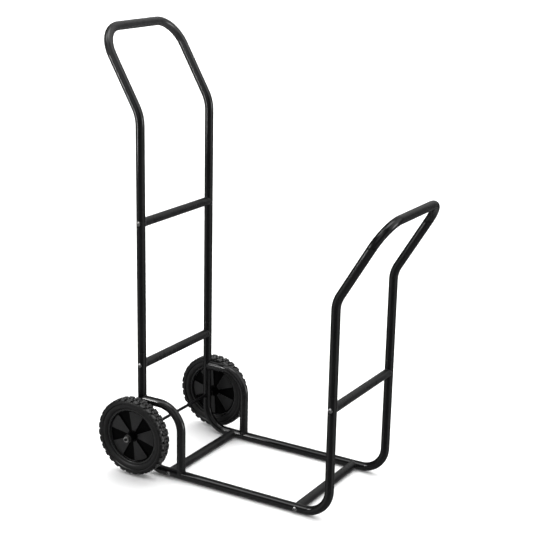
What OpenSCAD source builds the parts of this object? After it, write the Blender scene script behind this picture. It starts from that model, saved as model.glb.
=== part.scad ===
// Fireside log cart: a bolted frame of bent round tube that stands on its two floor rails
// and tips back onto two wheels. Logs lie in the cradle between the side frames.
// The rear is -X, the front +X, the left side +Y, and the floor is z = 0.

/* [Frame tube] */
// Outside diameter of every frame tube
tube_d = 22; // [20:0.5:24]
// Wall thickness of every frame tube
tube_wall = 1.2; // [0.8:0.1:1.6]

/* [Side frames] */
// Spacing of the two side frames, from tube axis to tube axis
frame_width = 298; // [240:1:400]
// Spacing of the rear and front uprights, from tube axis to tube axis
base_length = 538; // [440:1:640]
// Centreline radius of the two floor bends
floor_bend_r = 65; // [50:1:68]

/* [Crossbars] */
// Height of the upper rear crossbar's axis
upper_bar_height = 645; // [560:1:720]
// Height of the lower rear crossbar's axis
lower_bar_height = 282; // [260:1:340]
// Height of the front crossbar's axis
front_bar_height = 282; // [240:1:340]
// Distance of each floor crossbar from the nearest upright's axis
floor_bar_inset = 86; // [80:1:92]

/* [Push handle] */
// Height at which the handle's arms crank backward
handle_crank_height = 905; // [860:1:960]
// Angle of the backward crank, in degrees
handle_crank_angle = 30; // [15:1:45]
// Centreline radius of the crank bends
handle_crank_r = 90; // [60:1:110]
// Length of the cranked arms, from the crank to the grip bar's axis
handle_reach = 228; // [180:1:260]
// Centreline radius of the corners beside the grip bar
handle_corner_r = 70; // [50:1:90]

/* [Front hoop] */
// Height at which the hoop's arms crank forward
hoop_crank_height = 541; // [500:1:600]
// Angle of the forward crank, in degrees
hoop_crank_angle = 31; // [15:1:45]
// Centreline radius of the crank bends
hoop_crank_r = 70; // [50:1:90]
// Length of the cranked arms, from the crank to the top bar's axis
hoop_reach = 225; // [180:1:260]
// Centreline radius of the hoop's corners
hoop_corner_r = 65; // [50:1:90]

/* [Axle arches] */
// Distance from the rear upright's axis to the arch's vertical leg
arch_reach = 118; // [116:1:140]
// Height of the arch's horizontal leg
arch_height = 190; // [160:1:210]
// Centreline radius of the arch's bend
arch_bend_r = 65; // [40:1:75]

/* [Tube joints] */
// Height of each seam above the crossbar that pins it
seam_above_bar = 34; // [28:1:40]
// How far a swaged end reaches below the crossbar's axis
swage_below_bar = 26; // [20:1:34]
// Length of the taper between full and swaged diameter
swage_taper = 2; // [1:0.5:4]
// Radial play of a swaged end in the tube around it
swage_play = 0.1; // [0.05:0.05:0.2]
// Thickness of the plug's lip between a crossbar and the tube that it meets
saddle_lip = 1.8; // [1.2:0.1:3]
// Slit between the plug's lip and the crossbar's cut end
saddle_slit = 0.4; // [0.2:0.1:0.6]
// How far a plug reaches into its crossbar, from the face of the tube that it meets
plug_depth = 22; // [18:1:30]
// Radial play of a plug in its crossbar
plug_play = 0.1; // [0.05:0.05:0.2]
// Gap left where the end of one tube is cut to fit around another
cope_play = 0.1; // [0.05:0.05:0.2]

/* [Screws] */
// Nominal diameter of the crossbar screws
screw_d = 6; // [5:0.5:7]
// Length of the screws under the head
screw_length = 40; // [38:1:44]
// Diameter of the button head
screw_head_d = 12; // [10:0.5:14]
// Height of the button head
screw_head_height = 3.3; // [2.5:0.1:4]
// Size of the hexagon socket across its flats
socket_size = 4; // [3:0.5:5]
// Depth of the hexagon socket
socket_depth = 2; // [1.5:0.1:2.2]
// Radial play of a screw in a drilled tube
screw_hole_play = 0.25; // [0.1:0.05:0.5]
// Radial play of a screw in its plug
thread_play = 0.05; // [0.02:0.01:0.1]
// Gap under the screw heads
screw_head_gap = 0.05; // [0.02:0.01:0.1]

/* [Axle] */
// Diameter of the axle rod
axle_d = 8; // [6:0.5:10]
// Height of the axle above the floor
axle_height = 104; // [102:1:120]
// Radial play of the axle in the uprights
axle_hole_play = 0.1; // [0.05:0.05:0.3]
// How far the axle stands out of its nuts
axle_end_length = 2; // [1:0.5:4]
// Diameter of the axle washers
washer_d = 20; // [17:0.5:22]
// Thickness of the axle washers
washer_thickness = 1.6; // [1:0.1:2]
// Size of the axle nuts across their flats
nut_size = 13; // [12:0.5:16]
// Height of the axle nuts
nut_height = 6.5; // [5:0.5:8]
// Radial play of washers and nuts on the axle
nut_play = 0.05; // [0.02:0.01:0.1]
// End play between washer and upright, washer and hub, and hub and washer
end_play = 0.2; // [0.1:0.05:0.3]

/* [Wheels] */
// Diameter over the tyre
wheel_d = 200; // [190:1:203]
// Width over the tyre's sidewalls
tyre_width = 35; // [32:0.5:37]
// Width of the tread band
tread_width = 27; // [24:0.5:29]
// Diameter of the step on the tyre's sidewall
sidewall_step_d = 172; // [164:1:176]
// Height of the step on the tyre's sidewall
sidewall_step = 1.2; // [0.6:0.1:2]
// Outside diameter of the rim's lips
lip_d = 146; // [140:1:150]
// Width of the rim over its lips
lip_width = 21; // [19:0.5:22]
// Thickness of each lip
lip_thickness = 1.8; // [1.2:0.1:2.4]
// Diameter of the tyre's seat on the rim
seat_d = 140; // [139:0.5:140]
// Diameter of the recess inside the rim
recess_d = 136; // [130:1:136]
// Gap between tyre and rim
seat_play = 0.1; // [0.05:0.05:0.2]
// Diameter over the outer ends of the spokes
spoke_d = 129; // [120:1:129]
// Thickness of the spokes at the rim
spoke_rim_thickness = 11; // [8:0.5:13]
// Thickness of the spokes at the hub
spoke_hub_thickness = 7; // [5:0.5:8]
// Thickness of the web that closes the pockets between the spokes
web_thickness = 3; // [2:0.5:4]
// Number of spokes
spoke_count = 5; // [3:1:8]
// Angle that each pocket between two spokes takes up, in degrees
pocket_angle = 33; // [20:1:40]
// Diameter at which the pockets begin
pocket_start_d = 30; // [26:1:40]
// Diameter of the hub's ends
hub_d = 21; // [18:0.5:23]
// Diameter of the hub at the web
hub_root_d = 24; // [22:0.5:25]
// Length of the hub
hub_length = 50; // [46:0.5:56]
// Radial running play of the hub on the axle
hub_play = 0.05; // [0.02:0.01:0.1]
// Turn of the left wheel's first pocket above the horizontal, in degrees
left_wheel_turn = 4; // [0:1:72]
// Turn of the right wheel's first pocket above the horizontal, in degrees
right_wheel_turn = 43; // [0:1:72]

/* [Hidden] */
$fn = 64;
tube_r = tube_d / 2;
tube_bore_r = tube_r - tube_wall;
swage_r = tube_bore_r - swage_play;
swage_bore_r = swage_r - tube_wall;
rail_height = tube_r;
half_width = frame_width / 2;

// The origin is halfway between the grip bar's rear and the hoop's front
handle_lean = handle_reach * sin(handle_crank_angle);
hoop_lean = hoop_reach * sin(hoop_crank_angle);
rear_x = (handle_lean - hoop_lean - base_length) / 2;
front_x = rear_x + base_length;
rear_floor_x = rear_x + floor_bar_inset;
front_floor_x = front_x - floor_bar_inset;

// Places of the five crossbars: x, height, and whether the tube that it meets is a floor rail
BARS = [
    [rear_x, upper_bar_height, false],
    [rear_x, lower_bar_height, false],
    [front_x, front_bar_height, false],
    [rear_floor_x, rail_height, true],
    [front_floor_x, rail_height, true]
];

// Stations along the axle, outward from the side frame's middle plane
inner_washer_y = tube_r + end_play;
hub_inner_y = inner_washer_y + washer_thickness + end_play;
hub_outer_y = hub_inner_y + hub_length;
outer_washer_y = hub_outer_y + end_play;
nut_y = outer_washer_y + washer_thickness;
axle_end_y = nut_y + nut_height + axle_end_length;
wheel_y = half_width + hub_inner_y + hub_length / 2;

// Shares of the tyre's sidewall and shoulder
shoulder_drop_share = 0.45;
crown_drop_share = 0.04;
crown_flat_share = 0.4;
sidewall_foot_share = 0.7;
// Through-cuts run this much past the tube on each side
cut_length = 2 * tube_d;
// A crank is drawn as two pieces of one torus, each of which covers this share of it
crank_piece_share = 0.6;

module tube_section() {
    difference() {
        circle(r = tube_r);
        circle(r = tube_bore_r);
    }
}

// A straight tube along Z, from one height to another
module straight_tube(from, to) {
    translate([0, 0, from]) linear_extrude(to - from) tube_section();
}

// A bend in the XZ plane about the origin, from the start angle over the sweep
module bend_tube(radius, start, sweep) {
    rotate([90, 0, 0])
        rotate_extrude(angle = sweep, start = start)
            translate([radius, 0]) tube_section();
}

// A hole across both side frames
module cross_hole(x, z, r) {
    translate([x, 0, z]) rotate([90, 0, 0])
        cylinder(r = r, h = frame_width + cut_length, center = true);
}

module screw_hole(x, z) {
    cross_hole(x, z, screw_d / 2 + screw_hole_play);
}

// An upright tube whose lower end is swaged to fit inside the tube below its seam
module swaged_arm(bar_height, end_height) {
    seam = bar_height + seam_above_bar;
    rotate_extrude() polygon([
        [swage_bore_r, bar_height - swage_below_bar],
        [swage_r, bar_height - swage_below_bar],
        [swage_r, seam],
        [tube_r, seam + swage_taper],
        [tube_r, end_height],
        [tube_bore_r, end_height],
        [tube_bore_r, seam + swage_taper],
        [swage_bore_r, seam]
    ]);
}

// The arms past the crank, the two corners and the bar that joins them
module hoop_top(arm_length, corner_r) {
    corner_y = half_width - corner_r;
    for (side = [-1, 1]) translate([0, side * half_width, 0]) straight_tube(0, arm_length);
    translate([0, 0, arm_length]) {
        for (side = [-1, 1]) translate([0, side * corner_y, 0]) rotate([0, 0, 90])
            bend_tube(corner_r, side > 0 ? 0 : 90, 90);
        translate([0, 0, corner_r]) rotate([-90, 0, 0]) straight_tube(-corner_y, corner_y);
    }
}

// The first part of each arm's crank, drawn about the crank's axis
module crank_piece(crank_r, sweep) {
    for (side = [-1, 1]) translate([0, side * half_width, 0])
        bend_tube(crank_r, 180 - sweep, sweep);
}

// One bent tube: two swaged arms that rise about x = 0, crank forward and join at the top
module cranked_hoop(bar_height, crank_height, crank_angle, crank_r, reach, corner_r) {
    tangent = crank_r * tan(crank_angle / 2);
    sweep = crank_piece_share * crank_angle;
    difference() {
        union() {
            for (side = [-1, 1]) translate([0, side * half_width, 0])
                swaged_arm(bar_height, crank_height - tangent);
            translate([0, 0, crank_height - tangent]) translate([crank_r, 0, 0]) {
                crank_piece(crank_r, sweep);
                rotate([0, crank_angle, 0]) {
                    mirror([0, 0, 1]) crank_piece(crank_r, sweep);
                    translate([-crank_r, 0, 0]) hoop_top(reach - tangent - corner_r, corner_r);
                }
            }
        }
        screw_hole(0, bar_height);
    }
}

module push_handle() {
    color("#1b1c1e") translate([rear_x, 0, 0]) mirror([1, 0, 0])
        cranked_hoop(upper_bar_height, handle_crank_height, handle_crank_angle,
            handle_crank_r, handle_reach, handle_corner_r);
}

module front_hoop() {
    color("#1b1c1e") translate([front_x, 0, 0])
        cranked_hoop(front_bar_height, hoop_crank_height, hoop_crank_angle,
            hoop_crank_r, hoop_reach, hoop_corner_r);
}

module rear_post(side) {
    color("#202124") difference() {
        translate([rear_x, side * half_width, 0])
            swaged_arm(lower_bar_height, upper_bar_height + seam_above_bar);
        screw_hole(rear_x, lower_bar_height);
        screw_hole(rear_x, upper_bar_height);
    }
}

// One bent tube: rear upright, floor rail and front upright
module base_frame(side) {
    bend_height = rail_height + floor_bend_r;
    front_bend_x = base_length - floor_bend_r;
    rear_end = lower_bar_height + seam_above_bar;
    front_end = front_bar_height + seam_above_bar;
    color("#17181a") difference() {
        translate([rear_x, side * half_width, 0]) {
            straight_tube(bend_height, rear_end);
            translate([floor_bend_r, 0, bend_height]) bend_tube(floor_bend_r, 180, 90);
            translate([0, 0, rail_height]) rotate([0, 90, 0])
                straight_tube(floor_bend_r, front_bend_x);
            translate([front_bend_x, 0, bend_height]) bend_tube(floor_bend_r, 270, 90);
            translate([base_length, 0, 0]) straight_tube(bend_height, front_end);
        }
        screw_hole(rear_x, lower_bar_height);
        screw_hole(front_x, front_bar_height);
        screw_hole(rear_floor_x, rail_height);
        screw_hole(front_floor_x, rail_height);
        cross_hole(rear_x, axle_height, axle_d / 2 + axle_hole_play);
    }
}

// A bent tube over the axle, cut to fit against the rear upright and the floor rail
module axle_arch(side) {
    cope_r = tube_r + cope_play;
    bend_x = arch_reach - arch_bend_r;
    bend_height = arch_height - arch_bend_r;
    color("#242528") translate([rear_x, side * half_width, 0]) difference() {
        union() {
            translate([0, 0, arch_height]) rotate([0, 90, 0])
                straight_tube(0, bend_x);
            translate([bend_x, 0, bend_height]) bend_tube(arch_bend_r, 0, 90);
            translate([arch_reach, 0, 0]) straight_tube(rail_height, bend_height);
        }
        translate([0, 0, arch_height]) cylinder(r = cope_r, h = cut_length, center = true);
        translate([arch_reach, 0, rail_height]) rotate([0, 90, 0])
            cylinder(r = cope_r, h = cut_length, center = true);
    }
}

// Turns what is drawn about an upright so that it fits a floor rail
module onto_tube(on_floor) {
    rotate([0, on_floor ? 90 : 0, 0]) children();
}

module crossbar(bar) {
    color("#2a2b2d") difference() {
        translate([bar.x, 0, bar.y]) rotate([-90, 0, 0]) straight_tube(-half_width, half_width);
        for (side = [-1, 1]) translate([bar.x, side * half_width, bar.y]) onto_tube(bar.z)
            cylinder(r = tube_r + saddle_lip + saddle_slit, h = cut_length, center = true);
    }
}

// A plug in a crossbar's end: its lip wraps the tube about Z, and its body points along +Y
module saddle_plug() {
    difference() {
        union() {
            intersection() {
                rotate([-90, 0, 0]) cylinder(d = tube_d, h = tube_d);
                cylinder(r = tube_r + saddle_lip, h = cut_length, center = true);
            }
            rotate([-90, 0, 0]) cylinder(r = tube_bore_r - plug_play, h = tube_r + plug_depth);
        }
        cylinder(r = tube_r + cope_play, h = cut_length, center = true);
        rotate([-90, 0, 0]) cylinder(r = screw_d / 2 + thread_play, h = cut_length);
    }
}

module crossbar_plugs() {
    color("#3a3b3e") for (bar = BARS, side = [-1, 1])
        translate([bar.x, side * half_width, bar.y]) rotate([0, 0, side > 0 ? 180 : 0])
            onto_tube(bar.z) saddle_plug();
}

// A button-head screw: shank along +Z, head below z = 0
module button_screw() {
    dome_r = (pow(screw_head_d / 2, 2) + pow(screw_head_height, 2)) / (2 * screw_head_height);
    difference() {
        union() {
            cylinder(d = screw_d, h = screw_length);
            intersection() {
                translate([0, 0, dome_r - screw_head_height]) sphere(r = dome_r);
                translate([0, 0, -screw_head_height])
                    cylinder(d = screw_head_d, h = screw_head_height);
            }
        }
        translate([0, 0, -screw_head_height])
            cylinder(d = socket_size / cos(30), h = socket_depth, $fn = 6);
    }
}

module crossbar_screws() {
    head_y = half_width + tube_r + screw_head_gap;
    color("silver") for (bar = BARS, side = [-1, 1])
        translate([bar.x, side * head_y, bar.y]) rotate([side * 90, 0, 0]) button_screw();
}

module axle() {
    color("#303134") translate([rear_x, 0, axle_height]) rotate([90, 0, 0])
        cylinder(d = axle_d, h = 2 * (half_width + axle_end_y), center = true);
}

// Places what is drawn about +Z on the axle, y outward from the side frame
module on_axle(side, y) {
    translate([rear_x, side * (half_width + y), axle_height]) rotate([-side * 90, 0, 0])
        children();
}

module axle_washer(side, y) {
    color("silver") on_axle(side, y) difference() {
        cylinder(d = washer_d, h = washer_thickness);
        translate([0, 0, -washer_thickness])
            cylinder(r = axle_d / 2 + nut_play, h = 3 * washer_thickness);
    }
}

module axle_nut(side) {
    color("silver") on_axle(side, nut_y) difference() {
        cylinder(d = nut_size / cos(30), h = nut_height, $fn = 6);
        translate([0, 0, -nut_height])
            cylinder(r = axle_d / 2 + nut_play, h = 3 * nut_height);
    }
}

// Stands what is drawn about the Z axis up as a wheel, with its angles counted from +X to +Z
module as_wheel(side) {
    translate([rear_x, side * wheel_y, axle_height]) rotate([90, 0, 0]) children();
}

module rim_barrel() {
    half = lip_width / 2;
    for (face = [-1, 1]) mirror([0, 0, face > 0 ? 0 : 1]) rotate_extrude() polygon([
        [recess_d / 2, 0],
        [seat_d / 2, 0],
        [seat_d / 2, half - lip_thickness],
        [lip_d / 2, half - lip_thickness],
        [lip_d / 2, half],
        [recess_d / 2, half]
    ]);
}

// The wedge-shaped pockets, one at each multiple of the spoke angle
module pocket_sectors() {
    side_angle = pocket_angle / 2;
    for (i = [0 : spoke_count - 1]) rotate(i * 360 / spoke_count) polygon([
        [0, 0],
        [wheel_d * cos(side_angle), -wheel_d * sin(side_angle)],
        [wheel_d * cos(side_angle), wheel_d * sin(side_angle)]
    ]);
}

// Spokes dished a little towards the hub, with pockets cut between them
module spokes() {
    rim_half = spoke_rim_thickness / 2;
    hub_half = spoke_hub_thickness / 2;
    difference() {
        rotate_extrude() polygon([
            [0, -hub_half],
            [spoke_d / 2, -rim_half],
            [spoke_d / 2, rim_half],
            [0, hub_half]
        ]);
        linear_extrude(2 * spoke_rim_thickness, center = true) difference() {
            pocket_sectors();
            circle(d = pocket_start_d);
        }
    }
}

module hub() {
    half = hub_length / 2;
    rotate_extrude() polygon([
        [0, -half],
        [hub_d / 2, -half],
        [hub_root_d / 2, 0],
        [hub_d / 2, half],
        [0, half]
    ]);
}

module wheel_rim(side, turn) {
    color("#26272a") as_wheel(side) difference() {
        rotate(turn) union() {
            rim_barrel();
            linear_extrude(web_thickness, center = true) circle(r = (recess_d + seat_d) / 4);
            spokes();
            hub();
        }
        cylinder(r = axle_d / 2 + hub_play, h = 2 * hub_length, center = true);
    }
}

// A solid tyre: its foot sits between the rim's lips and its sidewalls spread over them
module tyre(side) {
    foot = lip_width / 2 - lip_thickness - seat_play;
    over_lip_r = lip_d / 2 + seat_play;
    outer_r = wheel_d / 2;
    wall = tyre_width / 2;
    tread = tread_width / 2;
    shoulder_r = outer_r - shoulder_drop_share * (wall - lip_width / 2);
    step_r = sidewall_step_d / 2;
    color("#141416") as_wheel(side) for (face = [-1, 1]) mirror([0, 0, face > 0 ? 0 : 1])
        rotate_extrude() polygon([
            [seat_d / 2 + seat_play, 0],
            [seat_d / 2 + seat_play, foot],
            [over_lip_r, foot],
            [over_lip_r, lip_width / 2 + sidewall_foot_share * sidewall_step],
            [step_r, wall - sidewall_step],
            [step_r + sidewall_step, wall],
            [shoulder_r - sidewall_step, wall],
            [shoulder_r, wall - sidewall_step],
            [outer_r - crown_drop_share * tread, tread],
            [outer_r, crown_flat_share * tread],
            [outer_r, 0]
        ]);
}

push_handle();
front_hoop();
rear_post(1);  // left_rear_post
rear_post(-1);  // right_rear_post
base_frame(1);  // left_base_frame
base_frame(-1);  // right_base_frame
axle_arch(1);  // left_axle_arch
axle_arch(-1);  // right_axle_arch
crossbar(BARS[0]);  // upper_rear_crossbar
crossbar(BARS[1]);  // lower_rear_crossbar
crossbar(BARS[2]);  // front_crossbar
crossbar(BARS[3]);  // rear_floor_crossbar
crossbar(BARS[4]);  // front_floor_crossbar
crossbar_plugs();
crossbar_screws();
axle();
axle_washer(1, inner_washer_y);  // left_inner_washer
axle_washer(-1, inner_washer_y);  // right_inner_washer
wheel_rim(1, left_wheel_turn);  // left_wheel_rim
wheel_rim(-1, right_wheel_turn);  // right_wheel_rim
tyre(1);  // left_tyre
tyre(-1);  // right_tyre
axle_washer(1, outer_washer_y);  // left_outer_washer
axle_washer(-1, outer_washer_y);  // right_outer_washer
axle_nut(1);  // left_axle_nut
axle_nut(-1);  // right_axle_nut
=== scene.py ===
# %% [markdown]
# # A fireside log cart, dressed for its picture
#
# The frame of bent tube, its crossbars, screws, washers and axle come in ready made, at their
# true size. This lesson gives them their coats and platings, and it models by hand what the
# plain solids leave out: the treaded tyres, the moulded rims, the chamfered nuts and the welds.
# Everything is in metres. The floor is z = 0, the front is +X and the left side is +Y.

# %% Load the frame
import math
import bmesh
import bpy
from mathutils import Euler, Matrix, Vector


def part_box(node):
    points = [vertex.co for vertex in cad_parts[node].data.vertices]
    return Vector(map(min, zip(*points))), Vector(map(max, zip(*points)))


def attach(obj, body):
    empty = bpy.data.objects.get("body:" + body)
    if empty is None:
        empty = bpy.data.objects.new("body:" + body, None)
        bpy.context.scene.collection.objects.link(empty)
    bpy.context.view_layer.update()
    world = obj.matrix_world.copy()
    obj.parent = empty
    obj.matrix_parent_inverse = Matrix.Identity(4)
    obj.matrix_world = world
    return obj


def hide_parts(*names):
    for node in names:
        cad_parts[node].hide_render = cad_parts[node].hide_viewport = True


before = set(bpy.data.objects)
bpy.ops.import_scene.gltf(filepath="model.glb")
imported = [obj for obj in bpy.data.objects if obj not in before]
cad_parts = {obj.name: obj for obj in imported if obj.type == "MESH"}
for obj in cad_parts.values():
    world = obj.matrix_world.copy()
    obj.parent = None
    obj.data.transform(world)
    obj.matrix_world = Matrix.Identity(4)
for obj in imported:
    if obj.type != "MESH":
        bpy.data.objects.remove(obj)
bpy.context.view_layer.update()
mm = 0.001

# %% [markdown]
# ## Camera
#
# The picture was taken from the right front, a little above the grip, with a longish lens.
# The viewpoint is given as a turn, a tilt and a slight roll, as a photographer would note
# them, and the small upward shift keeps the uprights as steep as the picture has them.

# %% Camera
camera = bpy.data.objects.new("camera", bpy.data.cameras.new("camera"))
bpy.context.scene.collection.objects.link(camera)
stand = Vector((1.5631, -2.6585, 1.4275))
turn, tilt, roll = (math.radians(a) for a in (30.484, -16.931, -1.181))
aim = Euler((math.pi / 2 + tilt, 0, turn)).to_matrix() @ Matrix.Rotation(-roll, 3, "Z")
camera.matrix_world = Matrix.Translation(stand) @ aim.to_4x4()
camera.data.sensor_width = 36
camera.data.lens = 89.08
camera.data.shift_y = 0.0417
camera.data.clip_end = 200
bpy.context.scene.camera = camera
print("lens:", round(camera.data.lens, 2), "mm, height:", round(stand.z, 3), "m")

# %% [markdown]
# ## Shader sums
#
# A finish could be drawn by hand as a web of nodes, but a sum is easier to read. This small
# class wraps one socket: adding, multiplying or comparing two of them adds the Math node, and
# `node` makes any other node from its settings, which are set first, and the values or links
# of its sockets.

# %% Sockets that can be added up
class Wire:
    def __init__(self, tree, socket=None):
        self.tree, self.socket = tree, socket

    def node(self, kind, settings=None, values=None, output=0):
        made = self.tree.nodes.new(kind)
        for key, value in (settings or {}).items():
            setattr(made, key, value)
        for key, value in (values or {}).items():
            if isinstance(value, Wire):
                self.tree.links.new(value.socket, made.inputs[key])
            else:
                made.inputs[key].default_value = value
        return Wire(self.tree, made.outputs[output] if made.outputs else None)

    def sum(self, operation, *terms):
        return self.node("ShaderNodeMath", {"operation": operation}, dict(enumerate(terms)))

    def __add__(self, other):
        return self.sum("ADD", self, other)

    def __sub__(self, other):
        return self.sum("SUBTRACT", self, other)

    def __rsub__(self, other):
        return self.sum("SUBTRACT", other, self)

    def __mul__(self, other):
        return self.sum("MULTIPLY", self, other)

    def __gt__(self, other):
        return self.sum("GREATER_THAN", self, other)

    def __lt__(self, other):
        return self.sum("LESS_THAN", self, other)

    __radd__, __rmul__ = __add__, __mul__


# %% [markdown]
# ## Helpers for the finishes
#
# Every finish here starts from the same three things: a place on the piece in metres, a
# noise of some grain size, and two tones mixed by it. The grain is named by its real size,
# so that an orange peel of a millimetre is written as a millimetre. A noise keeps close to
# its middle, so it is ramped: what lies between two values is stretched from low to high.
# Blender's Mix node keeps sockets for numbers, vectors and colours under the same names, so
# the ones for colours are given by their place.

# %% Start a finish, make a grain, mix two tones
MIX_SHARE, MIX_UNDER, MIX_OVER, MIXED = 0, 6, 7, 2


def start_finish(name):
    finish = bpy.data.materials.new(name)
    finish.use_nodes = True
    finish.node_tree.nodes.clear()
    wire = Wire(finish.node_tree)
    return finish, wire, wire.node("ShaderNodeTexCoord", output="Object")


def grain(place, size, detail=2.0, roughness=0.5):
    values = {"Vector": place, "Scale": 1 / size, "Detail": detail, "Roughness": roughness}
    return place.node("ShaderNodeTexNoise", None, values)


def ramped(value, low, high, steep=(0.3, 0.7)):
    start, end = steep
    values = {"Value": value, "From Min": start, "From Max": end, "To Min": low, "To Max": high}
    return value.node("ShaderNodeMapRange", None, values)


def mixed(share, under, over):
    sockets = {MIX_SHARE: share, MIX_UNDER: under, MIX_OVER: (*over, 1)}
    return share.node("ShaderNodeMix", {"data_type": "RGBA"}, sockets, MIXED)


def tones(value, dark, light):
    return mixed(value, (*dark, 1), light)


# %% [markdown]
# Relief that is finer than the mesh is a bump: a height in the finish that tilts the light
# but moves no point. Bumps can be laid over each other, fine over coarse. The next helper
# gathers all that a finish says about itself on one shader and prints its name, and the last
# one takes off what a piece wears and gives it its finishes.

# %% Lay a bump, gather a finish, dress a piece
def bumped(height, depth, normal=None):
    values = {"Height": height, "Distance": depth, "Strength": 1.0}
    if normal:
        values["Normal"] = normal
    return height.node("ShaderNodeBump", None, values)


def finished(finish, **values):
    wire = Wire(finish.node_tree)
    sockets = {name.replace("_", " "): value for name, value in values.items()}
    shader = wire.node("ShaderNodeBsdfPrincipled", None, sockets)
    wire.node("ShaderNodeOutputMaterial", None, {"Surface": shader})
    print("finish:", finish.name, len(finish.node_tree.nodes), "nodes")
    return finish


def wear(piece, *finishes):
    piece.data.materials.clear()
    for finish in finishes:
        piece.data.materials.append(finish)


# %% [markdown]
# ## Floor and studio light
#
# The picture is a plain white product shot, so the floor is a wide pale sheet that runs past
# the edges of the frame. A curved backdrop could stand behind it, but the cart is looked at
# from all sides, so the sheet is flat and the sky behind it is white. Black gloss shows
# mostly what it mirrors, so the floor is kept out of the reflections, as black cards on it
# would do in a studio.

# %% Floor
bpy.ops.object.select_all(action="DESELECT")
bpy.ops.mesh.primitive_plane_add(size=60, location=(0, 0, 0))
floor = bpy.context.object
floor.name = "studio_floor"
paper, wire, place = start_finish("studio_paper")
fibres = grain(place, 400 * mm, 3)
finished(paper, Base_Color=tones(fibres, (0.90, 0.90, 0.90), (0.93, 0.93, 0.93)),
         Roughness=0.9, Specular_IOR_Level=0.1)
wear(floor, paper)
floor.visible_glossy = False

# %% [markdown]
# A broad soft light, high on the far side, makes the faint shadows under the rails. The light
# lines along the tubes are mirror images, so a ring of soft cards hangs round the cart, as in
# a studio, and only reflections see it, with a dark room behind. Lamps or glowing sheets
# could do this, but a card drawn in the sky costs hardly any render time, is as soft at its
# edge as one likes and stands in no view. A card is given by the side it hangs on and its
# height, by the radii where it starts and ends to fade, all in degrees, and by its strength.

# %% Cards for the sky
CARDS = {"left": (-135, -12, 10, 34, 0.43), "right": (6, -17, 14, 34, 0.48),
         "back": (96, 38, 12, 42, 0.46), "front": (-76, 28, 10, 32, 0.60),
         "hoop": (68, 0, 8, 18, 0.11), "high": (20, 38, 15, 38, 1.3),
         "bright": (22, 2, 4, 14, 6.0), "rail": (-146, 53, 8, 19, 3.4),
         "top": (0, 90, 5, 25, 4.0), "lip": (-105, 50, 5, 13, 1.2),
         "under": (0, -90, 38, 70, 0.16), "bar": (68, -34, 9, 22, 0.13)}
MAIN_LIGHT = (112, 48, 5, 72, 2.8)
print("cards round the cart:", ", ".join(CARDS))


def card(direction, turn, height, inner, outer, strength):
    turn, height, inner, outer = (math.radians(a) for a in (turn, height, inner, outer))
    level = math.cos(height)
    toward = Vector((math.cos(turn) * level, math.sin(turn) * level, math.sin(height)))
    facing = direction.node("ShaderNodeVectorMath", {"operation": "DOT_PRODUCT"},
                            {0: direction, 1: toward}, "Value")
    return ramped(facing, 0, strength, (math.cos(outer), math.cos(inner)))


# %% [markdown]
# The sky's nodes are told what a ray is. A mirrored ray sees the dark room with its cards,
# and any other ray sees the open sky with the main light. For a ray straight from the camera
# this sky is made brighter, into a white backdrop, so that a low view shows no horizon.

# %% Light the sky
SKY, ROOM, BACKDROP = 0.74, 0.05, 0.5
sky = bpy.data.worlds.new("studio_sky")
bpy.context.scene.world = sky
sky.use_nodes = True
sky.node_tree.nodes.clear()
wire = Wire(sky.node_tree)
direction = wire.node("ShaderNodeTexCoord", output="Generated")
seen = wire.node("ShaderNodeLightPath", output="Is Camera Ray")
mirrored = wire.node("ShaderNodeLightPath", output="Is Glossy Ray")
open_sky = SKY + card(direction, *MAIN_LIGHT)
dark_room = ROOM + sum(card(direction, *size) for size in CARDS.values())
strength = (1 - mirrored) * open_sky + mirrored * dark_room + BACKDROP * seen
glow = wire.node("ShaderNodeBackground", None, {"Color": (1, 1, 1, 1), "Strength": strength})
wire.node("ShaderNodeOutputWorld", None, {"Surface": glow})
bpy.context.scene.view_settings.view_transform = "Standard"
print("sky:", len(CARDS) + 1, "cards in", len(sky.node_tree.nodes), "nodes")

# %% [markdown]
# The glare along the near arch and rail is long, narrow and close, and a card at the sky's
# distance can't draw it. So one real softbox, an area lamp, stands at the left front of the
# picture, which is behind the cart on its right. It is hidden from the camera and from the
# diffuse light, and only the gloss shows it.

# %% Narrow softbox at the left front
def softbox(name, foot, head, width, toward, glow):
    long = (head - foot).length
    lamp = bpy.data.objects.new(name, bpy.data.lights.new(name, "AREA"))
    lamp.data.shape, lamp.data.size, lamp.data.size_y = "RECTANGLE", long, width
    lamp.data.energy = glow * math.pi * long * width
    place, along = (foot + head) / 2, (head - foot).normalized()
    back = place - toward
    back = (back - back.dot(along) * along).normalized()
    axes = Matrix((along, back.cross(along), back)).transposed()
    lamp.matrix_world = Matrix.Translation(place) @ axes.to_4x4()
    lamp.visible_camera = lamp.visible_diffuse = False
    bpy.context.scene.collection.objects.link(lamp)


foot, head = Vector((-0.84, -0.98, 0.58)), Vector((-0.92, -0.86, 1.04))
softbox("left_softbox", foot, head, width=0.10, toward=Vector((0, 0, 0.6)), glow=23.0)
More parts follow.
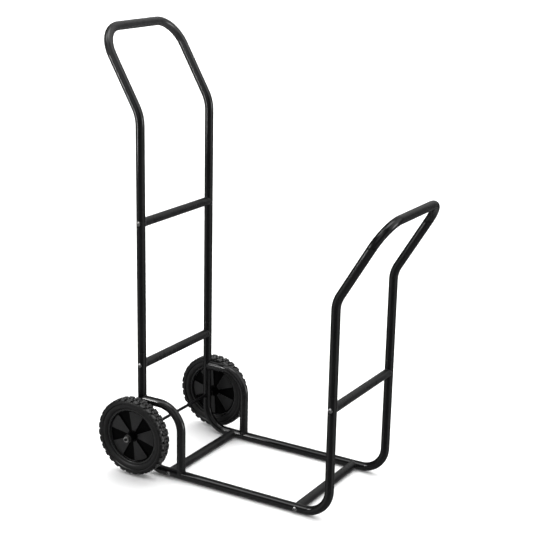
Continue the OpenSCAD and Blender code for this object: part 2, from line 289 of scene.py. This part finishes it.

# %% [markdown]
# ## Coats and platings
#
# The bent tubes have a semi-gloss powder coat: nearly black, with the faint orange peel that
# baked powder always has, and a tone that drifts a little along the tube. The crossbars are
# the same coat, a shade flatter. The welded arches have it painted a shade lighter. This is
# painted light that makes up for the shade the wheels and the frame throw on them. Where rails
# stand on the floor the coat is rubbed duller, and towards the grip, where hands hold it, it
# is worn to a greyer black. Each upright is plugged together from tubes a little above the
# crossbars. The narrow groove that is left there gets a painted shadow: a near-black band
# written as a metal that mirrors almost nothing. The mouth of the tube below it is rounded by
# the coat, so it catches some light from above. One flat black would look like plastic pipe,
# and a photographed texture would blur close up, so the coat is built from noises of a real
# size.

# %% Powder coats
SEAMS = (317.0 * mm, 680.0 * mm)
RUBBED_BELOW = 2.5 * mm
HANDLED = (900 * mm, 1095 * mm)
GROOVE_SHADE_EDGE, LIP_EDGE = (0.6 * mm, 1.2 * mm), (1.0 * mm, 3.0 * mm)
# colour of the painted shadow in the seams' grooves
GROOVE_SHADE_TONE = (0.0010, 0.0010, 0.0010)
PEEL_DEPTH, LIP_DEPTH = 0.03 * mm, 0.9 * mm


def powder_coat(name, dull, dark, light, worn=(0.0050, 0.0050, 0.0052)):
    finish, wire, place = start_finish(name)
    drift, peel = grain(place, 70 * mm, 3), grain(place, 1.6 * mm, 1)
    grit = grain(place, 0.3 * mm, 2)
    height = wire.node("ShaderNodeSeparateXYZ", None, {"Vector": place}, output="Z")
    rubbed = (height < RUBBED_BELOW) * ramped(grain(place, 9 * mm, 4), 0, 1, (0.45, 0.6))
    held = ramped(height, 0, 1, HANDLED) * ramped(grain(place, 14 * mm, 4), 0.75, 1)
    off_seam = height.sum("MINIMUM", *(height.sum("ABSOLUTE", height - seam) for seam in SEAMS))
    # painted shadow: a near-black, non-reflecting band along each seam's groove
    painted_groove_shade = ramped(off_seam, 1, 0, GROOVE_SHADE_EDGE)
    lips = sum(ramped(seam - height, 0, 1, LIP_EDGE) for seam in SEAMS)
    tone = mixed(held, tones(ramped(drift, 0, 1), dark, light), worn)
    tone = mixed(painted_groove_shade, tone, GROOVE_SHADE_TONE)
    sheen = ramped(drift, dull - 0.03, dull + 0.05) + 0.05 * (grit - 0.5) + 0.25 * rubbed
    return finished(finish, Base_Color=tone, Metallic=painted_groove_shade, Roughness=sheen,
                    Specular_IOR_Level=0.4,
                    Normal=bumped(peel + 0.4 * grit, PEEL_DEPTH, bumped(lips, LIP_DEPTH)))


tube_coat = powder_coat("tube_powder_coat", dull=0.13, dark=(0.0040, 0.0040, 0.0042),
                        light=(0.0060, 0.0060, 0.0063), worn=(0.0290, 0.0290, 0.0295))
bar_coat = powder_coat("crossbar_powder_coat", dull=0.28, dark=(0.0050, 0.0050, 0.0053),
                       light=(0.0074, 0.0074, 0.0078))
# painted light: the arches' coat is a shade lighter to make up for the shade the wheels and
# frame throw on them
arch_coat_painted_light = powder_coat("arch_powder_coat_painted_light", dull=0.13, dark=(0.0078, 0.0078, 0.0081),
                        light=(0.0104, 0.0104, 0.0108))

# %% [markdown]
# The screws, washers and nuts are zinc plated, which is a bright metal with a soft cloudy
# crystal in it. Their recesses, such as the screws' sockets, get painted shade: an ambient
# occlusion node finds them without a mask drawn for each, and their colour is darkened there.
# The axle is a plain darkened rod, with rolled threads at its two ends. A thread cut in the
# mesh would need thousands of faces for lines that are thinner than a pixel, so a fine wave
# of bumps stands for it.

# %% Platings
THREAD_PITCH, THREADS_FROM = 1.25 * mm, 210.5 * mm
THREAD_DEPTH, SCRATCH_DEPTH = 0.12 * mm, 0.01 * mm
RECESS_SHADE_REACH, RECESS_SHADE_TONE = 2.5 * mm, (0.01, 0.01, 0.01)


def plating(name, tone, dull, threads_from=None):
    finish, wire, place = start_finish(name)
    cloud, scratches = grain(place, 2.5 * mm, 4, 0.6), grain(place, 0.25 * mm, 2)
    reach = {"Distance": RECESS_SHADE_REACH}
    open_air = wire.node("ShaderNodeAmbientOcclusion", {"samples": 8}, reach, output="AO")
    # painted shade: colour darkened where ambient occlusion finds a recess
    painted_recess_shade = ramped(open_air, 1, 0, (0.45, 0.8))
    dark, light = (tuple(c * share for c in tone) for share in (0.8, 1.1))
    normal = bumped(cloud * 0.4 + scratches, SCRATCH_DEPTH)
    if threads_from:
        along = wire.node("ShaderNodeSeparateXYZ", None, {"Vector": place}, output="Y")
        beyond = along.sum("ABSOLUTE", along) > threads_from
        turns = along.sum("SINE", along * (2 * math.pi / THREAD_PITCH))
        normal = bumped(turns * beyond, THREAD_DEPTH, normal)
    tone = mixed(painted_recess_shade, tones(ramped(cloud, 0, 1), dark, light), RECESS_SHADE_TONE)
    return finished(finish, Base_Color=tone, Metallic=1.0,
                    Roughness=ramped(scratches, dull - 0.06, dull + 0.06), Normal=normal)


screw_zinc = plating("bright_screw_zinc", (0.46, 0.46, 0.46), dull=0.26)
nut_zinc = plating("cloudy_nut_zinc", (0.60, 0.60, 0.59), dull=0.27)
washer_zinc = plating("dull_washer_zinc", (0.085, 0.085, 0.085), dull=0.42)
axle_steel = plating("black_axle_steel", (0.034, 0.034, 0.036), dull=0.36,
                     threads_from=THREADS_FROM)

# %% [markdown]
# ## Where the wheels are
#
# The wheels' pieces and their finishes both count from the axle. Its place could be typed in,
# but read from the ready-made tyre it can't be wrong, and the wheel's radius comes with it. Two
# small helpers turn a place into what a drawing of a wheel would give. The one for points of a
# mesh gives the distance from the axle, the angle within the fifth of the wheel that a spoke
# takes, and the distance from the wheel's middle. The one for finishes gives the first of them.
# The picture has the middle of a pocket 43 degrees above the front.

# %% Sizes of the wheel, taken from its solids
box_low, box_high = (Vector(corner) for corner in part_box("right_tyre"))
hub = (box_low + box_high) / 2
wheel_r = (box_high.z - box_low.z) / 2
RIM_TURN, SPOKES = 43, 5
SECTOR = 360 / SPOKES
print("right wheel centre:", [round(v / mm, 1) for v in hub], "radius:", round(wheel_r / mm, 1))


def rim_polar(point):
    out = Vector(point) - hub
    turn = math.degrees(math.atan2(out.z, out.x)) - RIM_TURN
    return math.hypot(out.x, out.z) / mm, turn % SECTOR, out.y / mm


def from_axle(place):
    away = place.node("ShaderNodeVectorMath", {"operation": "SUBTRACT"}, {0: place, 1: hub})
    flat = place.node("ShaderNodeVectorMath", {"operation": "MULTIPLY"}, {0: away, 1: (1, 0, 1)})
    return place.node("ShaderNodeVectorMath", {"operation": "LENGTH"}, {0: flat}, output="Value")


# %% [markdown]
# The rims and plugs are moulded plastic. Their faces are spark eroded to a fine grain that
# scatters the light and looks grey, and the lip round the tyre is polished. The pockets
# between the spokes are smooth and get a near-black colour, painted shade for their depth.
# One recipe serves all four, as it is the tone, the gloss and the grain that tell them apart.

# %% Plastics
def moulded(name, dark, light, dull, grit, depth, gloss=0.35):
    finish, wire, place = start_finish(name)
    flow, fine = grain(place, 18 * mm, 3), grain(place, grit, 2, 0.7)
    return finished(finish, Base_Color=tones(ramped(flow, 0, 1), dark, light),
                    Roughness=ramped(flow, dull - 0.04, dull + 0.05) + 0.06 * (fine - 0.5),
                    Specular_IOR_Level=gloss, Normal=bumped(fine, depth))


rim_plastic = moulded("grained_rim_plastic", (0.0108, 0.0108, 0.0111),
                      (0.0142, 0.0142, 0.0146), dull=0.42, grit=0.45 * mm, depth=0.03 * mm)
lip_plastic = moulded("polished_lip_plastic", (0.0080, 0.0080, 0.0082),
                      (0.0100, 0.0100, 0.0103), dull=0.24, grit=0.45 * mm, depth=0.01 * mm,
                      gloss=0.45)
# painted shade: the pockets' near-black colour stands for the shade of their depth
pocket_painted_shade = moulded("pocket_plastic_painted_shade", (0.0008, 0.0008, 0.0009),
                         (0.0012, 0.0012, 0.0013), dull=0.40, grit=0.8 * mm, depth=0.01 * mm,
                         gloss=0.04)
plug_plastic = moulded("grained_plug_plastic", (0.0200, 0.0200, 0.0205),
                       (0.0260, 0.0260, 0.0265), dull=0.45, grit=0.5 * mm, depth=0.02 * mm)

# %% [markdown]
# The tyres are solid rubber with a soft bloom. Their lugs have light tops, partly scuffs and
# partly a painted highlight, the grooves between them are darkened as painted shade, and the
# step round the sidewall is polished by the mould. These zones could be painted by hand, but
# they are all rings about the axle, so the distance from it tells one from another.

# %% Rubber
LUG_FLANK, GROOVE_SHADE_FROM = (96.8 * mm, 99.4 * mm), 94.6 * mm
STEP_FROM, STEP_TO = 85.7 * mm, 87.4 * mm
RUBBER, BLOOMED = (0.0045, 0.0045, 0.0046), (0.0070, 0.0070, 0.0072)
# the groove colour is painted shade; the lug-top colour is partly scuffs, partly a painted
# highlight
SHADED, SCUFF_AND_HIGHLIGHT = (0.0014, 0.0014, 0.0015), (0.0660, 0.0660, 0.0665)
GRAIN_DEPTH = 0.05 * mm


def tread_rubber(name):
    finish, wire, place = start_finish(name)
    bloom, scuffs = grain(place, 22 * mm, 3), grain(place, 3.2 * mm, 3, 0.6)
    fine = grain(place, 0.6 * mm, 2, 0.7)
    high = ramped(from_axle(place), 0, 1, LUG_FLANK)
    # painted shade: the grooves between the lugs are darkened
    painted_groove_shade = (from_axle(place) > GROOVE_SHADE_FROM) * (1 - high)
    # lighter lug tops: partly scuffs, partly a painted highlight
    scuff_and_highlight = high * ramped(scuffs, 0, 1, (0.40, 0.60))
    polished = (from_axle(place) > STEP_FROM) * (from_axle(place) < STEP_TO)
    tone = mixed(painted_groove_shade, tones(ramped(bloom, 0, 1), RUBBER, BLOOMED), SHADED)
    tone = mixed(scuff_and_highlight, tone, SCUFF_AND_HIGHLIGHT)
    dull = 0.46 - 0.10 * scuff_and_highlight - 0.27 * polished + 0.06 * (fine - 0.5)
    return finished(finish, Base_Color=tone, Roughness=dull,
                    Specular_IOR_Level=0.44, Normal=bumped(fine + scuffs, GRAIN_DEPTH))


tyre_rubber = tread_rubber("matt_tyre_rubber")

# %% [markdown]
# ## Dressing the ready-made solids
#
# Each solid of the frame keeps its shape and gets its finish here. The finishes could be set
# one by one, but a node's name says what it is, so the finish is looked up by a word in the
# name. The solids of the rims, tyres and nuts get one too, though pieces that are modelled
# below take their place.

# %% Finishes for the solids
WORDS = (("crossbar_plugs", plug_plastic), ("crossbar_screws", screw_zinc),
         ("crossbar", bar_coat), ("washer", washer_zinc), ("nut", nut_zinc),
         ("rim", rim_plastic), ("tyre", tyre_rubber), ("axle_arch", arch_coat_painted_light),
         ("axle", axle_steel), ("", tube_coat))
for name, solid in sorted(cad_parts.items()):
    finish = next(f for word, f in WORDS if word in name)
    wear(solid, finish)
    print(name, "gets", finish.name)

# %% [markdown]
# ## Modelling by hand
#
# The pieces below start from a primitive and are shaped in edit mode, as with mouse and
# keyboard. A few helpers stand in for the hand. One picks faces, edges or points by their
# place. One draws an outline: a small plane is merged to a single point, which is extruded
# from corner to corner. The last welds a seam shut, turns all faces outwards and smooths
# every edge that is flatter than a given angle.

# %% Pick by place, trace an outline, close the seams
TOUCHING = 0.005 * mm


def pick(kind, wanted):
    bpy.ops.mesh.select_mode(type=kind)
    bpy.ops.mesh.select_all(action="DESELECT")
    shape = bmesh.from_edit_mesh(bpy.context.object.data)
    parts = {"VERT": shape.verts, "EDGE": shape.edges, "FACE": shape.faces}[kind]
    found = [part for part in parts if wanted(part)]
    for part in found:
        part.select_set(True)
    bmesh.update_edit_mesh(bpy.context.object.data)
    return len(found)


def middle(part):
    return sum((corner.co for corner in part.verts), Vector()) / len(part.verts)


def start_point(name):
    bpy.ops.object.select_all(action="DESELECT")
    bpy.ops.mesh.primitive_plane_add(size=1 * mm)
    bpy.context.object.name = bpy.context.object.data.name = name
    bpy.ops.object.mode_set(mode="EDIT")
    bpy.ops.mesh.select_mode(type="VERT")
    bpy.ops.mesh.select_all(action="SELECT")
    bpy.ops.mesh.merge(type="CENTER")
    return bpy.context.object


def trace(corners):
    bpy.ops.transform.translate(value=corners[0])
    for here, there in zip(corners, corners[1:]):
        bpy.ops.mesh.extrude_vertices_move(TRANSFORM_OT_translate={"value": there - here})


def close_seams(smooth=30):
    bpy.ops.mesh.select_all(action="SELECT")
    bpy.ops.mesh.remove_doubles(threshold=TOUCHING)
    bpy.ops.mesh.normals_make_consistent(inside=False)
    bpy.ops.object.mode_set(mode="OBJECT")
    bpy.ops.object.shade_smooth_by_angle(angle=math.radians(smooth))
    print(bpy.context.object.name, len(bpy.context.object.data.polygons), "faces")


# %% [markdown]
# ## Rims
#
# Each rim is one moulding: a long hub on the axle, a thin web, five flat spokes that dish a
# little towards the hub, and two lips that hold the tyre. Its section is the same all round
# but for the pockets between the spokes, so half the section is traced and spun about the
# axle, the pockets are then pushed down to the web, and the other half is a mirror image.
# Starting the spin at the middle of a pocket, in steps of 1.5 degrees, puts an edge on every
# side of every spoke. The section is written as on a drawing, in millimetres from the axle
# and from the rim's middle.

# %% Trace half the rim's section and spin it
AXLE = Vector((0, 1, 0))
RIM_STEPS = 240
HUB_R, COLLAR_R, SPOKE_R, GROOVE_R, WALL_R, LIP_R = 10, 15, 64.5, 67.5, 68, 73
HUB_H, WEB_H, COLLAR_H, SPOKE_H, LIP_H = 25, 1.5, 3.97, 5.5, 10.5
hub_half = [(4.05, 0), (4.05, 24.2), (4.8, HUB_H), (HUB_R, HUB_H), (10.5, 24.5),
            (11.75, 4.6), (12.4, 3.95)]
spoke_half = [(COLLAR_R, COLLAR_H), (SPOKE_R, SPOKE_H), (SPOKE_R, WEB_H), (GROOVE_R, WEB_H)]
lip_half = [(WALL_R, 2.0), (WALL_R, 8.6), (68.2, 9.3), (68.7, 9.9), (69.4, 10.3),
            (70.3, LIP_H), (72.6, LIP_H), (LIP_R, 10.1), (LIP_R, 9.0), (72.8, 8.7),
            (70, 8.7), (70, 0)]
start = math.radians(RIM_TURN)
outward = Vector((math.cos(start), 0, math.sin(start)))
right_rim = start_point("right_wheel_rim_moulding")
trace([hub + r * mm * outward + h * mm * AXLE for r, h in hub_half + spoke_half + lip_half])
bpy.ops.mesh.select_all(action="SELECT")
bpy.ops.mesh.spin(steps=RIM_STEPS, angle=2 * math.pi, center=hub, axis=AXLE)
bpy.ops.mesh.select_all(action="SELECT")
bpy.ops.mesh.remove_doubles(threshold=TOUCHING)
print("spun:", len(bmesh.from_edit_mesh(right_rim.data).faces), "faces")

# %% [markdown]
# The pockets take 33 of every 72 degrees. They could be cut with a Boolean, but the spin has
# put an edge on each of their sides, so their faces are simply extruded down to the web, and
# the walls that are left between pocket and groove are deleted.

# %% Push the pockets down
HALF_POCKET, NEAR = 16.5, 0.2


def in_pocket(turn):
    return turn < HALF_POCKET - NEAR or turn > SECTOR - HALF_POCKET + NEAR


def pocket_top(face):
    r, turn, h = rim_polar(middle(face))
    return COLLAR_R + 1 < r < SPOKE_R - 1 and COLLAR_H < h < SPOKE_H and in_pocket(turn)


def outer_wall(face):
    r, turn, h = rim_polar(middle(face))
    return abs(r - SPOKE_R) < NEAR and WEB_H + 0.5 < h < SPOKE_H and in_pocket(turn)


def sunk_foot(vert):
    r, _, h = rim_polar(vert.co)
    return abs(r - COLLAR_R) < NEAR and h < WEB_H


print("faces pushed down:", pick("FACE", pocket_top))
down = (WEB_H - SPOKE_H) * mm * AXLE
bpy.ops.mesh.extrude_region_move(TRANSFORM_OT_translate={"value": down})
print("walls opened:", pick("FACE", outer_wall))
bpy.ops.mesh.delete(type="FACE")
print("points lifted back to the web:", pick("VERT", sunk_foot))
bpy.ops.transform.translate(value=(SPOKE_H - COLLAR_H) * mm * AXLE)
bpy.ops.mesh.select_all(action="SELECT")
bpy.ops.mesh.remove_doubles(threshold=TOUCHING)

# %% [markdown]
# Nothing moulded is quite sharp: the spokes' outer corners and then their edges get the
# rounding that lets a moulding out of its tool. Two bevels do it, the wide one first, so that
# the narrow one runs round the new corners in one line.

# %% Round the spokes
CORNER_ROUND, EDGE_ROUND = 2.5 * mm, 0.5 * mm
SHARP, TALL, SAME = math.radians(50), 3, 0.1


def sharp(edge):
    return len(edge.link_faces) == 2 and edge.calc_face_angle(0) > SHARP


def spoke_corner(edge):
    (r, turn, h), (r2, _, h2) = (rim_polar(v.co) for v in edge.verts)
    return (abs(h - h2) > TALL and abs(r - r2) < SAME and abs(r - SPOKE_R) < SAME
            and min(abs(turn - HALF_POCKET), abs(turn + HALF_POCKET - SECTOR)) < NEAR)


def spoke_edge(edge):
    r, _, h = rim_polar(middle(edge))
    return (sharp(edge) and COLLAR_R - 0.5 < r < SPOKE_R + 0.5
            and COLLAR_H - SAME < h < SPOKE_H + SAME)


print("spoke corners:", pick("EDGE", spoke_corner))
bpy.ops.mesh.bevel(offset=CORNER_ROUND, segments=4, affect="EDGES")
print("spoke edges:", pick("EDGE", spoke_edge))
bpy.ops.mesh.bevel(offset=EDGE_ROUND, segments=2, affect="EDGES")
bpy.ops.object.mode_set(mode="OBJECT")

# %% [markdown]
# The inner half of the rim is the mirror image of the outer one. Tracing the whole section
# would mean cutting the pockets twice, so a Mirror modifier is applied instead, about an
# empty at the hub's middle, which is taken away again.

# %% Mirror the rim
def pick_up(piece):
    bpy.ops.object.select_all(action="DESELECT")
    bpy.context.view_layer.objects.active = piece
    piece.select_set(True)


bpy.ops.object.empty_add(location=hub)
centre = bpy.context.object
pick_up(right_rim)
bpy.ops.object.modifier_add(type="MIRROR")
other_half = right_rim.modifiers[-1]
other_half.use_axis = (False, True, False)
other_half.mirror_object = centre
other_half.merge_threshold = 0.01 * mm
bpy.ops.object.modifier_apply(modifier=other_half.name)
bpy.data.objects.remove(centre)
bpy.ops.object.mode_set(mode="EDIT")
close_seams()

# %% [markdown]
# A real rim of this kind comes from one tool, but its zones shine differently. So it gets
# three finishes, and the faces of the pockets, of the hub's sides and of the lips are picked by
# their place and assigned to theirs; the pockets and the hub's sides get the near-black
# painted shade. A mask in one finish could do it too, but its border would cut across faces,
# and here the borders are edges of the shape.

# %% Dress the rim
POCKET_TOP, LIP_FROM = COLLAR_H - 0.3, 8.5


# faces that get the near-black painted shade: the pockets and the hub's sides
def in_painted_shade(face):
    r, _, h = rim_polar(middle(face))
    hub_side = HUB_R + NEAR < r < COLLAR_R - 0.3 and abs(h) < HUB_H - 1
    return hub_side or COLLAR_R - 0.6 < r < GROOVE_R + 0.1 and abs(h) < POCKET_TOP


def on_lip(face):
    r, _, h = rim_polar(middle(face))
    return r > WALL_R and abs(h) > LIP_FROM


wear(right_rim, rim_plastic, pocket_painted_shade, lip_plastic)
bpy.ops.object.mode_set(mode="EDIT")
for slot, zone in ((1, in_painted_shade), (2, on_lip)):
    print("faces with finish", slot, "of the rim:", pick("FACE", zone))
    right_rim.active_material_index = slot
    bpy.ops.object.material_slot_assign()
bpy.ops.object.mode_set(mode="OBJECT")

# %% [markdown]
# What is right once is modelled once: the left wheel's pieces are copies. The left wheel came
# to rest at another angle than the right one, as two free wheels do: its pocket is 4 degrees
# above the front. So the copy is carried across along the axle and also turned, and both are
# applied, so that its place is in its own mesh.

# %% Copy a wheel's piece to the left side
def left_copy(piece, name, turn=0.0, axis_y=hub.y):
    pick_up(piece)
    bpy.ops.object.duplicate(linked=False)
    copy = bpy.context.object
    copy.name = copy.data.name = name
    about = Matrix.Translation(hub) @ Matrix.Rotation(turn, 4, "Y") @ Matrix.Translation(-hub)
    copy.matrix_world = Matrix.Translation(-2 * axis_y * AXLE) @ about
    bpy.ops.object.transform_apply(location=True, rotation=True, scale=True)
    print("copied", piece.name, "to", copy.name)
    return copy


LEFT_RIM_TURN = 4
rim_lag = math.radians(RIM_TURN - LEFT_RIM_TURN)
left_rim = left_copy(right_rim, "left_wheel_rim_moulding", rim_lag)
for side, rim in (("right", right_rim), ("left", left_rim)):
    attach(rim, side + "_wheel")
    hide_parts(side + "_wheel_rim")

# %% [markdown]
# ## Tyres
#
# A tyre like this is one piece of solid rubber with an all-terrain tread: two staggered rows
# of slanted blocks in the middle and a lug on each shoulder that wraps down to the sidewall.
# A picture of the tread could be pressed into a smooth tyre as a bump, but its outline would
# stay round, so the lugs are real. The carcass is a spun section with the step that runs
# round the sidewall. One pitch of the tread is modelled at the top of the wheel and spun
# round it as copies, and a Boolean grows the lugs and the carcass into one skin.

# %% Spin the carcass
UP = Vector((0, 0, 1))
CROWN_R, TYRE_STEPS = 95.5, 220
seat = [(70.1, 0), (70.1, 8.6), (73.1, 8.6)]
sidewall = [(73.2, 11.0), (73.9, 12.8), (75.2, 14.3), (77.0, 15.3), (79.2, 15.8),
            (81.6, 15.8), (84.0, 15.4), (85.5, 15.0)]
step = [(86.0, 15.2), (86.6, 16.2), (87.2, 17.2), (87.8, 17.5), (91.0, 17.5)]
crown = [(92.6, 17.2), (94.0, 16.3), (94.9, 14.8), (95.3, 12.5), (CROWN_R, 8.0)]
half_tyre = seat + sidewall + step + crown
section = half_tyre + [(r, -h) for r, h in reversed(half_tyre[1:])] + half_tyre[:1]
right_tyre = start_point("right_tyre_rubber")
trace([hub + r * mm * UP + h * mm * AXLE for r, h in section])
bpy.ops.mesh.select_all(action="SELECT")
bpy.ops.mesh.remove_doubles(threshold=TOUCHING)
bpy.ops.mesh.select_all(action="SELECT")
bpy.ops.mesh.spin(steps=TYRE_STEPS, angle=2 * math.pi, center=hub, axis=AXLE)
close_seams()

# %% [markdown]
# A lug is its cross-section, traced where the lug begins and spun a few degrees about the
# axle, so that its top follows the wheel. Its foot reaches into the carcass. The slant comes
# from tracing the section askew, and the small bevel on the top is the wear that a new tyre
# gets in its box. A pitch has one long shoulder lug a side, which the wheel's outline shows as
# a bump, and two short blocks beside it. The tops stay a hair under the wheel's radius.

# %% Model the lugs of one pitch
PITCHES = 31
half_pitch = math.pi / PITCHES
LUG_WEAR, HAIR = 0.7 * mm, 0.05
FOOT_R, TOP_R = 94.2, wheel_r / mm - HAIR
block = [(0.7, FOOT_R), (0.7, TOP_R), (6.4, TOP_R), (6.4, FOOT_R)]
shoulder = [(8.0, FOOT_R), (8.0, TOP_R - 0.1), (12.6, TOP_R - 0.5), (15.2, 98.3), (16.8, 96.4),
            (17.45, 94.2), (15.5, 93.0), (12.0, 93.6)]


def lug(section, side, turn, length, slant, steps):
    spread = length / TOP_R
    askew = Matrix.Rotation(turn + spread / 2, 3, "Y")
    start_point("lug")
    trace([hub + askew @ Vector((slant * h, side * h, r)) * mm for h, r in section])
    bpy.ops.mesh.select_all(action="SELECT")
    bpy.ops.mesh.edge_face_add()
    bpy.ops.mesh.spin(steps=steps, angle=spread, center=hub, axis=AXLE)
    bpy.ops.mesh.select_all(action="SELECT")
    bpy.ops.mesh.normals_make_consistent(inside=False)
    pick("EDGE", lambda e: sharp(e) and min(rim_polar(v.co)[0] for v in e.verts) > CROWN_R)
    bpy.ops.mesh.bevel(offset=LUG_WEAR, segments=1, affect="EDGES")
    bpy.ops.object.mode_set(mode="OBJECT")
    return bpy.context.object


lugs = []
for side, shift in ((-1, 0), (1, half_pitch)):
    lugs.append(lug(shoulder, side, shift, length=13.4, slant=-0.18, steps=3))
    for beside in (half_pitch / 2, -half_pitch / 2):
        lugs.append(lug(block, side, shift + beside, length=6.6, slant=0.55, steps=2))
print("lugs in a pitch:", len(lugs), "pitch:", round(2 * half_pitch * wheel_r / mm, 2), "mm")

# %% [markdown]
# The six lugs are joined to one piece, and a spin that copies instead of sweeping sets them
# all round the wheel. An Array modifier with an empty could do the same, but the spin needs
# no helper object and can't leave a gap where the round closes, since it is given the axle
# itself and the count of pitches.

# %% Copy the pitch round the wheel
pick_up(lugs[0])
for piece in lugs:
    piece.select_set(True)
bpy.ops.object.join()
tread = bpy.context.object
bpy.ops.object.mode_set(mode="EDIT")
bpy.ops.mesh.select_all(action="SELECT")
to_the_last = 2 * math.pi * (1 - 1 / PITCHES)
bpy.ops.mesh.spin(steps=PITCHES - 1, angle=to_the_last, dupli=True, center=hub, axis=AXLE)
bpy.ops.mesh.select_all(action="SELECT")
bpy.ops.mesh.normals_make_consistent(inside=False)
bpy.ops.object.mode_set(mode="OBJECT")
print("lugs and blocks round the wheel:", len(lugs) * PITCHES)

# %% [markdown]
# A tyre is moulded in one go. Lugs that only stood in the carcass would leave open seams at
# their feet and faces hidden inside, so a Boolean union joins both to one closed skin. The
# left tyre is a turned copy, because on a real cart the two treads seldom line up.

# %% Grow the lugs into the carcass
def combine(piece, tool, operation):
    pick_up(piece)
    bpy.ops.object.modifier_add(type="BOOLEAN")
    join = piece.modifiers[-1]
    join.operation, join.object, join.solver = operation, tool, "MANIFOLD"
    bpy.ops.object.modifier_apply(modifier=join.name)
    bpy.data.objects.remove(tool)


combine(right_tyre, tread, "UNION")
bpy.ops.object.shade_smooth_by_angle(angle=math.radians(28))
wear(right_tyre, tyre_rubber)
tyre_lag = math.radians(2.5)
left_tyre = left_copy(right_tyre, "left_tyre_rubber", tyre_lag)
for side, tyre in (("right", right_tyre), ("left", left_tyre)):
    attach(tyre, side + "_wheel")
    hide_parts(side + "_tyre")
print("tyre:", len(right_tyre.data.polygons), "faces")

# %% [markdown]
# ## Axle nuts
#
# A plain hexagon nut with the usual chamfer, which leaves an arc on every flat. Bevelling the
# corners of a hexagon would leave straight lines there. The arc comes by itself when the
# hexagon is cut from a round blank with chamfered rims, as on a lathe.

# %% Turn the blank of a nut
nut_low, nut_high = (Vector(corner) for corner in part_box("right_axle_nut"))
nut_middle = (nut_low + nut_high) / 2
nut_height = nut_high.y - nut_low.y
FLATS, BORE_R, CHAMFER = 13 * mm, 4.06 * mm, 0.75 * mm
CORNER_R = FLATS / 2 / math.cos(math.radians(30))


def bar(name, sides, radius, length, turn=0.0):
    bpy.ops.object.select_all(action="DESELECT")
    bpy.ops.mesh.primitive_cylinder_add(vertices=sides, radius=radius, depth=length,
                                        location=nut_middle, rotation=(math.pi / 2, turn, 0))
    bpy.ops.object.transform_apply(location=True, rotation=True, scale=True)
    bpy.context.object.name = bpy.context.object.data.name = name
    return bpy.context.object


right_nut = bar("right_axle_hex_nut", sides=96, radius=CORNER_R - HAIR * mm, length=nut_height)
bpy.ops.object.mode_set(mode="EDIT")
rims = pick("EDGE", lambda e: abs(e.verts[0].co.y - e.verts[1].co.y) < NEAR * mm)
print("edges of the blank's two rims:", rims)
bpy.ops.mesh.bevel(offset=CHAMFER, segments=1, affect="EDGES")
bpy.ops.object.mode_set(mode="OBJECT")

# %% [markdown]
# The blank is cut to a hexagon and bored by two Booleans, with a six-sided bar and a round
# one that reach well past its faces, so that no two faces lie in one plane.

# %% Cut and bore the nut
hexagon = bar("hexagon", sides=6, radius=CORNER_R, length=3 * nut_height,
              turn=math.radians(30))
combine(right_nut, hexagon, "INTERSECT")
bore = bar("bore", sides=64, radius=BORE_R, length=3 * nut_height)
combine(right_nut, bore, "DIFFERENCE")
bpy.ops.object.mode_set(mode="EDIT")
close_seams()
wear(right_nut, nut_zinc)
left_nut = left_copy(right_nut, "left_axle_hex_nut", axis_y=nut_middle.y)
for side, nut in (("right", right_nut), ("left", left_nut)):
    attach(nut, "frame")
    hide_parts(side + "_axle_nut")
print("nut:", len(right_nut.data.polygons), "faces")

# %% [markdown]
# ## Welds
#
# The two short arches that carry the log load past the wheels are welded on, with a bead
# round each end. A ring would float off the tube: two equal tubes that meet square on cross
# in a saddle-shaped curve. So a circle is drawn as a curve and its points are lifted into
# that saddle. A round bevel with a little ripple in its thickness gives the bead that a
# hand-held torch leaves under the paint.

# %% Find where the arches meet the frame
arch_low, arch_high = (Vector(corner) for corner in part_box("right_axle_arch"))
post_low, post_high = (Vector(corner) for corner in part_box("right_rear_post"))
tube_r = (post_high.x - post_low.x) / 2
post_x = (post_high.x + post_low.x) / 2
upper_weld = Vector((post_x, (arch_low.y + arch_high.y) / 2, arch_high.z - tube_r))
lower_weld = Vector((arch_high.x - tube_r, upper_weld.y, tube_r))
for words, spot in (("at the post:", upper_weld), ("at the rail:", lower_weld)):
    print("right weld", words, [round(v / mm, 1) for v in spot])

# %% [markdown]
# All four beads are the same curve, laid in two directions: across, where an arch meets the
# rear upright, and flat, where it lands on the floor rail. The bead is turned into a mesh
# before its place is applied, and it wears the coat of the tubes.

# %% Lay the four beads
BEAD_R, BEAD_POINTS = 1.15 * mm, 24
ACROSS, FLAT = (math.pi / 2, 0, math.pi / 2), (0, 0, 0)


def weld(name, place, tilt):
    bpy.ops.object.select_all(action="DESELECT")
    bpy.ops.curve.primitive_bezier_circle_add(radius=tube_r, location=place, rotation=tilt)
    bead = bpy.context.object
    bead.name = bead.data.name = name
    bpy.ops.object.mode_set(mode="EDIT")
    bpy.ops.curve.subdivide(number_cuts=BEAD_POINTS - 1)
    bpy.ops.object.mode_set(mode="OBJECT")
    for count, point in enumerate(bead.data.splines[0].bezier_points):
        shift = math.sqrt(max(tube_r ** 2 - point.co.x ** 2, 0))
        for end in (point.handle_left, point.co, point.handle_right):
            end.z = shift
        ripple = 0.12 * math.sin(2.4 * count) + 0.06 * math.sin(0.9 * count)
        point.radius = 1 + ripple
        point.handle_left_type = point.handle_right_type = "AUTO"
    bead.data.bevel_depth, bead.data.bevel_resolution = BEAD_R, 3
    bead.data.resolution_u = 3
    bpy.ops.object.convert(target="MESH")
    bpy.ops.object.transform_apply(location=True, rotation=True, scale=True)
    bpy.ops.object.mode_set(mode="EDIT")
    close_seams(60)
    wear(bead, tube_coat)
    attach(bead, "frame")


for side, sign in (("right", 1), ("left", -1)):
    mirror = Vector((1, sign, 1))
    weld(side + "_arch_post_weld", upper_weld * mirror, ACROSS)
    weld(side + "_arch_rail_weld", lower_weld * mirror, FLAT)
